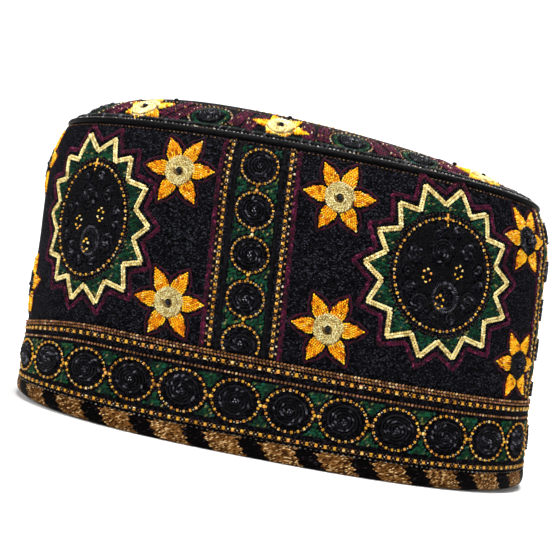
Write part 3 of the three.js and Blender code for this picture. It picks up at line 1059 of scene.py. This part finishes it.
# Crown embroidery
# Round the crown's rim stars and green-edged black rosettes take turns on maroon leaves; as they
# are seventeen, two rosettes meet once. A sun lies in the middle between two stars, and a corded
# black and green edging runs along the seam. All of it is sewn through the black crown cloth.
RIM_MOTIFS = 17
RIM_STARS = (0, 2, 5, 7, 9, 11, 13, 15)
RIM_INSET = 8.3
RIM_DISC = 5.8
RIM_TIP = 11.3
OUTER_TIP = 7.4
INNER_BEAD = 13.0
ROSETTE_RADIUS = 5.4
ROSETTE_DOTS = 8.4
crown_maroon = Sewing("crown_maroon_leaves", crown_place, maroon_thread, 61)
crown_petals = Sewing("crown_petals", crown_place, petal_thread, 62)
crown_cream = Sewing("crown_cream_chains", crown_place, cream_thread, 63)
crown_green = Sewing("crown_green_edgings", crown_place, green_thread, 64)
crown_cord = Sewing("crown_black_discs", crown_place, black_thread, 65)
crown_small = Sewing("crown_small_stitches", crown_place, small_gold_thread, 66)
crown_gold = Sewing("crown_gold_rings", crown_place, gold_thread, 67)
crown_beads = []


def crown_line(inset):
    """A closed line on the flat crown cloth, a distance in from its edge."""
    bearing = np.linspace(-np.pi, np.pi, 720, endpoint=False)
    reach = round_edge(bearing, edge_reach)
    steep = (CROWN_POWER * CROWN_RISE / reach) ** 2
    whole = reach * (1 + steep / (4 * CROWN_POWER - 2))
    return np.stack([(whole - inset) * np.cos(bearing), (whole - inset) * np.sin(bearing)], 1)


rim_line = crown_line(RIM_INSET)
closed_rim = np.vstack([rim_line, rim_line[:1]])
rim_run = np.concatenate([[0], np.cumsum(np.hypot(*np.diff(closed_rim, axis=0).T))])
front_run = np.interp(np.arctan2(-52.9, -10.2), np.linspace(-np.pi, np.pi, 721), rim_run)


def rim_spot(number):
    """Where a rim motif's middle is; they stand evenly, number 2 just left of the front's middle."""
    run = np.mod(front_run + (number - 2) * rim_run[-1] / RIM_MOTIFS, rim_run[-1])
    return np.array([np.interp(run, rim_run, closed_rim[:, 0]), np.interp(run, rim_run, closed_rim[:, 1])])


for number in range(RIM_MOTIFS):
    centre = rim_spot(number)
    inward = -centre / np.linalg.norm(centre)
    facing = math.atan2(inward[1], inward[0])
    if number in RIM_STARS:
        for petal in np.arange(6) * np.pi / 3 + np.pi / 6:
            tip = OUTER_TIP if np.cos(petal) < -0.6 else RIM_TIP
            leaf(crown_petals, centre, facing + petal, 5.0, tip, 2.6, 0.2)
        chain_disc(crown_cream, centre[0], centre[1], RIM_DISC, 0.6)
        stitch_along(crown_cream, oval_line(*centre, 5.7, 5.7, 60), 1.0, 1.3, 0.9, 0.8, 0.1, closed=True)
        crown_beads.append((*centre, 1.5))
        crown_beads.append((*(centre + INNER_BEAD * inward), 0.6))
    else:
        cord_disc(crown_cord, centre[0], centre[1], ROSETTE_RADIUS, ROSETTE_RADIUS)
        for radius in (6.1, 6.9):
            ring = oval_line(*centre, radius, radius, 60)
            stitch_along(crown_green, ring, 1.2, 1.3, 0.75, 0.5, lean=0.4, closed=True)
        ring = oval_line(*centre, ROSETTE_DOTS, ROSETTE_DOTS, 60)
        stitch_along(crown_small, ring, 1.7, 0.9, 0.7, 0.5, closed=True, shades=(0.55, 1.0))
        crown_beads.append((*centre, 0.7))
    between = rim_spot(number + 0.5)
    away = between / np.linalg.norm(between)
    across = np.array([-away[1], away[0]])
    for lean in (-1, 1):
        for shift in (0.0, 1.6, 3.0):
            reach = np.array([-10.0, -6.0, -2.0, 2.0, 5.0])
            side_step = lean * (1.0 + 0.12 * np.abs(reach) + shift)
            maroon_leaf = between + reach[:, None] * away + side_step[:, None] * across
            braid(crown_maroon, maroon_leaf, 1.2, 1.6, 0.5)
    x = between[0] + crown_small.chance.uniform(-6, 6, 14)
    y = between[1] + crown_small.chance.uniform(-6, 6, 14)
    crown_small.lay(x, y, crown_small.chance.uniform(0, 3, 14), 0.8, 0.45, 0.75, 0.15, shades=(0.3, 1.0))
stitch_along(crown_small, crown_line(19.5), 1.7, 0.9, 0.55, 0.4, closed=True)
stitch_along(crown_cord, crown_line(0.9), 0.8, 2.0, 0.85, 0.9, 0.1, 1.15, closed=True, wander=0.03)
stitch_along(crown_green, crown_line(2.3), 1.2, 1.3, 0.7, 0.4, lean=0.3, closed=True, shades=(0.0, 0.75))

# The middle sun is drawn out along the cap
MIDDLE_STRETCH = 1.45
for radius, pitch in ((28.0, 2.9), (14.0, 2.6)):
    ring = oval_line(0.0, 0.0, radius * MIDDLE_STRETCH, radius, 120)
    gold_line(crown_gold, crown_small, ring, pitch, 1.2, closed=True, flanks=False)


def middle_zigzag(tip, valley):
    """The zigzag of the middle sun's eighteen rays."""
    number = np.arange(36)
    ray = number * np.pi / 18
    reach = np.where(number % 2 == 0, tip, valley)
    return np.stack([MIDDLE_STRETCH * reach * np.cos(ray), reach * np.sin(ray)], 1)


braid(crown_maroon, middle_zigzag(26.0, 20.5), 1.25, 1.7, 0.4, closed=True)
braid(crown_cream, middle_zigzag(22.5, 17.0), 1.15, 1.9, 0.55, closed=True)
middle_coils = [(0, 0, 6.4), (-12.5, 0, 4.6), (12.5, 0, 4.6)]
middle_coils += [(x, y, 3.2) for y in (9.0, -9.0) for x in (-6.0, 6.0)]
for spot_x, spot_y, radius in middle_coils:
    cord_disc(crown_cord, spot_x, spot_y, radius, radius)
    crown_beads.append((spot_x, spot_y, 0.7))
for side in (-61.0, 61.0):
    centre = np.array([side, 0.0])
    for petal in np.arange(6) * np.pi / 3:
        leaf(crown_petals, centre, petal, 5.3, PETAL_TIP, 2.95)
    chain_disc(crown_cream, side, 0.0, DISC_RADIUS, 0.2)
    crown_beads.append((side, 0.0, 0.9))
for sewing in (
    crown_maroon, crown_petals, crown_cream, crown_green,
    crown_cord, crown_small, crown_gold,
):
    sewing.make()


# Beads
# Round black glass beads sit in the star discs and on the crown, and small cut glass beads glint
# in the coils of the wall and border. Each is threaded on and sewn down with black thread.
def bead_mesh(name, places, rings, sides, flat_shaded):
    """Joined beads: each place is (point, up direction, radius) in metres, squashed a little."""
    turn_up = np.linspace(-np.pi / 2, np.pi / 2, rings + 2)[1:-1]
    turn_round = np.arange(sides) * 2 * np.pi / sides
    ball = [(0, 0, -0.8)]
    for a in turn_up:
        ball += [(np.cos(a) * np.cos(b), np.cos(a) * np.sin(b), 0.8 * np.sin(a)) for b in turn_round]
    ball += [(0, 0, 0.8)]
    faces = []
    for i in range(sides):
        after = (i + 1) % sides
        faces.append((0, 1 + after, 1 + i))
        for ring in range(rings - 1):
            low, high = 1 + ring * sides, 1 + (ring + 1) * sides
            faces += [(low + i, low + after, high + after), (low + i, high + after, high + i)]
        high = 1 + (rings - 1) * sides
        faces.append((len(ball) - 1, high + i, high + after))
    ball = np.array(ball)
    faces = np.array(faces)
    points = []
    for point, up, radius in places:
        side = unit(np.cross(up, [0.3, 0.2, 0.93]))
        points.append(point + radius * ball @ np.stack([side, np.cross(up, side), up]))
    all_faces = np.concatenate([faces + len(ball) * i for i in range(len(places))])
    atlas = atlas_cells(len(all_faces), np.array([(0.1, 0.1), (0.9, 0.1), (0.5, 0.9)]))
    mesh = new_mesh(name, np.concatenate(points), all_faces, {"OFBake": atlas})
    if flat_shaded:
        mesh.shade_flat()
    return mesh


def seats(place, spots, radius):
    """Where beads of a radius sit: spots are (x, y, out) on the flat cloth."""
    x, y, out = np.array(spots, float).T
    here = place(x, y, out)
    up = unit(np.cross(place(x + 0.3, y, out) - here, place(x, y + 0.3, out) - here))
    return [(point, direction, radius * 0.001) for point, direction in zip(here, up)]


def glass_bead(name, steps, shine):
    """Dark glass with cloudy swirls of a lighter blue, a little scuffed by wear."""
    material, tree, shader = new_material(name, Specular_IOR_Level=shine)
    place = add(tree, "ShaderNodeTexCoord").outputs["Object"]
    swirl = add(tree, "ShaderNodeTexNoise", {"Vector": place, "Scale": 1400.0, "Detail": 2.0}).outputs[0]
    tree.links.new(colour_steps(tree, swirl, steps), shader.inputs["Base Color"])
    worn = add(tree, "ShaderNodeMapRange", {"Value": swirl, "To Min": 0.08, "To Max": 0.22}).outputs[0]
    tree.links.new(worn, shader.inputs["Roughness"])
    return material


round_glass = glass_bead(
    "round_glass", [(0.3, 1, 1, 3), (0.6, 3, 4, 12), (0.8, 18, 30, 78)], 0.18
)
cut_glass = glass_bead(
    "cut_glass", [(0.3, 8, 8, 13), (0.6, 26, 27, 38), (0.8, 76, 80, 98)], 0.45
)
star_seats = seats(wall_place, star_beads, 0.95)
crown_seats = seats(crown_place, crown_beads, 0.95)
fix(bead_mesh("round_beads", star_seats + crown_seats, 7, 12, False), round_glass)
cut_spots = []
for x, y, out in rosette_beads:
    cut_spots += [(x + right, y + up, out + 0.75) for right, up in ((0.0, 0.5), (0.5, -0.3), (-0.5, -0.4))]
for sun in SUNS:
    for coil_x, coil_y, size in SUN_COILS:
        cut_spots.append((sun["round"] + sun["narrow"] * coil_x, sun["height"] + coil_y, 0.8))
fix(bead_mesh("cut_beads", seats(wall_place, cut_spots, 0.5), 3, 6, True), cut_glass)


# Studio
# A plain pale sweep runs from under the cap up behind it. Large soft lights stand above, in
# front and at both sides, and the camera stands in front, a little above the floor.
CAMERA_TARGET = np.array([-0.00551, 0.0, 0.06506])
CAMERA_DISTANCE = 0.4351
CAMERA_YAW = math.radians(1.4)
CAMERA_RISE = math.radians(0.13)
CAMERA_ROLL = math.radians(10.58)
CAMERA_LENS = 66.03
SWEEP_BEND = 0.8

back = np.array([
    math.sin(CAMERA_YAW) * math.cos(CAMERA_RISE),
    -math.cos(CAMERA_YAW) * math.cos(CAMERA_RISE),
    math.sin(CAMERA_RISE),
])
right = unit(np.cross(-back, [0, 0, 1]))
up = np.cross(right, -back)
rolled_right = right * math.cos(CAMERA_ROLL) + up * math.sin(CAMERA_ROLL)
rolled_up = up * math.cos(CAMERA_ROLL) - right * math.sin(CAMERA_ROLL)
camera = stand("camera", bpy.data.cameras.new("camera"))
camera.data.lens = CAMERA_LENS
camera.data.sensor_width = 36.0
camera.data.clip_start = 0.01
matrix = np.eye(4)
matrix[:3, :3] = np.stack([rolled_right, rolled_up, back], 1)
matrix[:3, 3] = CAMERA_TARGET + back * CAMERA_DISTANCE
camera.matrix_world = Matrix(matrix.tolist())
bpy.context.scene.camera = camera

sweep_line = [(-1.0, 0.0), (1.2, 0.0)]
bend = np.linspace(0.1, math.pi / 2, 12)
sweep_line += [(1.2 + SWEEP_BEND * math.sin(a), SWEEP_BEND * (1 - math.cos(a))) for a in bend]
sweep_line += [(2.0, 3.0)]
sweep_points = [(x, y, z) for y, z in sweep_line for x in (-1.1, 1.1)]
sweep_faces = np.array([(2 * i, 2 * i + 1, 2 * i + 3, 2 * i + 2) for i in range(len(sweep_line) - 1)])
sweep = stand("studio_sweep", new_mesh("studio_sweep", sweep_points, sweep_faces, {}))
paper, tree, shader = new_material("studio_paper", Roughness=0.9)
place = add(tree, "ShaderNodeTexCoord").outputs["Object"]
fibre = add(tree, "ShaderNodeTexNoise", {"Vector": place, "Scale": 300.0}).outputs[0]
pale = colour_steps(tree, fibre, [(0.3, 238.61, 238.61, 238.61), (0.7, 242.25, 242.25, 242.25)])
tree.links.new(pale, shader.inputs["Base Color"])
sweep.data.materials.append(paper)


def soft_light(name, place, aim, size, power):
    """A square soft light that looks at a point."""
    data = bpy.data.lights.new(name, "AREA")
    data.size = size
    data.energy = power
    light = stand(name, data)
    light.location = place
    direction = np.array(aim) - np.array(place)
    light.rotation_mode = "QUATERNION"
    light.rotation_quaternion = Vector(direction.tolist()).to_track_quat("-Z", "Y")


soft_light("top_light", (0.0, -0.2, 1.1), (0.0, 0.0, 0.08), 0.5, 16.0)
soft_light("front_left_light", (-0.7, -1.0, 0.6), (0.0, 0.0, 0.06), 0.4, 13.0)
soft_light("front_right_light", (0.95, -0.8, 0.5), (0.0, 0.0, 0.06), 0.5, 5.5)
soft_light("back_light", (0.2, 1.0, 0.8), (0.0, 0.0, 0.06), 0.6, 8.0)
soft_light("sweep_light", (0.0, 0.5, 1.3), (0.0, 1.9, 0.5), 1.2, 40.0)
world = bpy.data.worlds.new("studio")
world.use_nodes = True
seen = add(world.node_tree, "ShaderNodeLightPath").outputs["Is Camera Ray"]
brightness = add(world.node_tree, "ShaderNodeMapRange", {"Value": seen, "To Min": 0.09, "To Max": 1.0})
background = world.node_tree.nodes["Background"].inputs
world.node_tree.links.new(brightness.outputs[0], background["Strength"])
background["Color"].default_value = (1.0, 1.0, 1.0, 1.0)
bpy.context.scene.world = world
bpy.context.scene.view_settings.view_transform = "Standard"
